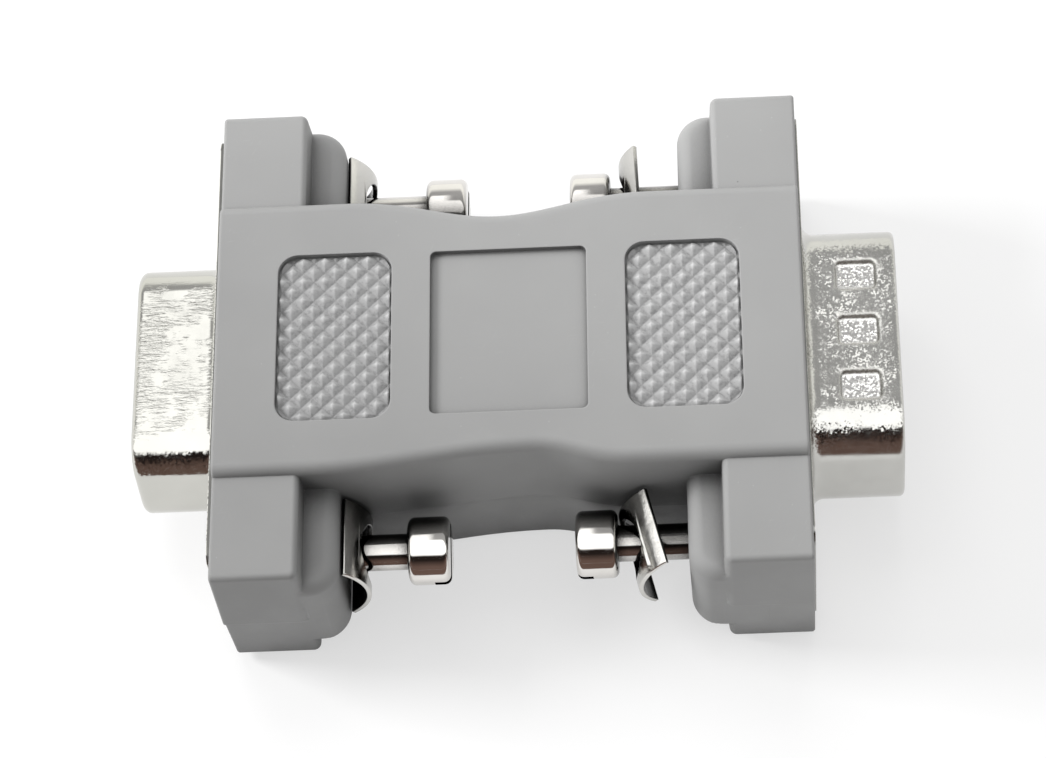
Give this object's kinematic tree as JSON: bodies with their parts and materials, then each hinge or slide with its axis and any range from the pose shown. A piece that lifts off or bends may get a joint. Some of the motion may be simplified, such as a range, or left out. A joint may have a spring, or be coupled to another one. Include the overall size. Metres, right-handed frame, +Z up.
{
  "type": "vga to d-sub adapter",
  "caption": "Moulded grey straight adapter with a D-shaped metal socket on one end, a D-shaped pin plug on the other, and captive slotted thumbscrews with spring clips.",
  "frame": {"origin": "middle of the overall length and width, on the flat underside", "axes": "+X along the connector axis toward the plug, +Y across the row of screws, +Z up through the face with the label recess"},
  "size_m": [0.0498, 0.0344, 0.014],
  "materials": {
    "body_grey": "moulded grey PVC, semi-matt, with fine specks and faint scratches",
    "lining": "natural moulded plastic",
    "shell_bright": "bright nickel plate with short burnish marks",
    "shell_satin": "satin, mottled nickel or tin plate",
    "rear_shell": "plain plated steel, hidden",
    "insulator": "black moulded thermoplastic",
    "contact_gold": "gold flash over brass",
    "wire_jacket": "plain wire insulation, hidden",
    "screw_nickel": "bright nickel plate",
    "spring_steel": "plated spring steel"
  },
  "bodies": {
    "adapter": {"body": "body_grey", "inner_lining": "lining", "socket_front_shell": "shell_bright", "plug_front_shell": "shell_satin", "socket_rear_shell": "rear_shell", "plug_rear_shell": "rear_shell", "socket_front_insulator": "insulator", "socket_rear_insulator": "insulator", "plug_front_insulator": "insulator", "plug_rear_insulator": "insulator", "plug_pin_1": "contact_gold", "plug_pin_2": "contact_gold", "plug_pin_3": "contact_gold", "plug_pin_4": "contact_gold", "plug_pin_5": "contact_gold", "plug_pin_6": "contact_gold", "plug_pin_7": "contact_gold", "plug_pin_8": "contact_gold", "plug_pin_9": "contact_gold", "socket_contact_1": "contact_gold", "socket_contact_2": "contact_gold", "socket_contact_3": "contact_gold", "socket_contact_4": "contact_gold", "socket_contact_5": "contact_gold", "socket_contact_6": "contact_gold", "socket_contact_7": "contact_gold", "socket_contact_8": "contact_gold", "socket_contact_9": "contact_gold", "socket_contact_10": "contact_gold", "socket_contact_11": "contact_gold", "socket_contact_12": "contact_gold", "socket_contact_13": "contact_gold", "socket_contact_14": "contact_gold", "socket_contact_15": "contact_gold", "wire_1": "wire_jacket", "wire_2": "wire_jacket", "wire_3": "wire_jacket", "wire_4": "wire_jacket", "wire_5": "wire_jacket", "wire_6": "wire_jacket", "wire_7": "wire_jacket", "wire_8": "wire_jacket", "wire_9": "wire_jacket", "spring_clip_socket_front": "spring_steel", "spring_clip_socket_back": "spring_steel"},
    "thumbscrew_socket_front": {"thumbscrew_socket_front": "screw_nickel"},
    "thumbscrew_socket_back": {"thumbscrew_socket_back": "screw_nickel"},
    "thumbscrew_plug_front": {"thumbscrew_plug_front": "screw_nickel"},
    "thumbscrew_plug_back": {"thumbscrew_plug_back": "screw_nickel"},
    "spring_clip_plug_front": {"spring_clip_plug_front": "spring_steel"},
    "spring_clip_plug_back": {"spring_clip_plug_back": "spring_steel"}
  },
  "joints": [
    {"name": "socket_front_screw_travel", "type": "slide", "parent": "adapter", "child": "thumbscrew_socket_front", "axis": [-1, 0, 0], "range_m": [-0.0011, 0.0023]},
    {"name": "socket_back_screw_travel", "type": "slide", "parent": "adapter", "child": "thumbscrew_socket_back", "axis": [-1, 0, 0], "range_m": [0, 0.0034]},
    {"name": "plug_front_screw_travel", "type": "slide", "parent": "adapter", "child": "thumbscrew_plug_front", "axis": [1, 0, 0], "range_m": [-0.0006, 0.0012]},
    {"name": "plug_back_screw_travel", "type": "slide", "parent": "adapter", "child": "thumbscrew_plug_back", "axis": [1, 0, 0], "range_m": [-0.0005, 0.0017]},
    {"name": "plug_front_clip_travel", "type": "slide", "parent": "adapter", "child": "spring_clip_plug_front", "axis": [1, 0, 0], "range_m": [-0.0006, 0.0012]},
    {"name": "plug_back_clip_travel", "type": "slide", "parent": "adapter", "child": "spring_clip_plug_back", "axis": [1, 0, 0], "range_m": [-0.0005, 0.0017]}
  ],
  "couplings": [
    {"joint": "plug_front_clip_travel", "follows": "plug_front_screw_travel", "ratio": 1},
    {"joint": "plug_back_clip_travel", "follows": "plug_back_screw_travel", "ratio": 1}
  ]
}
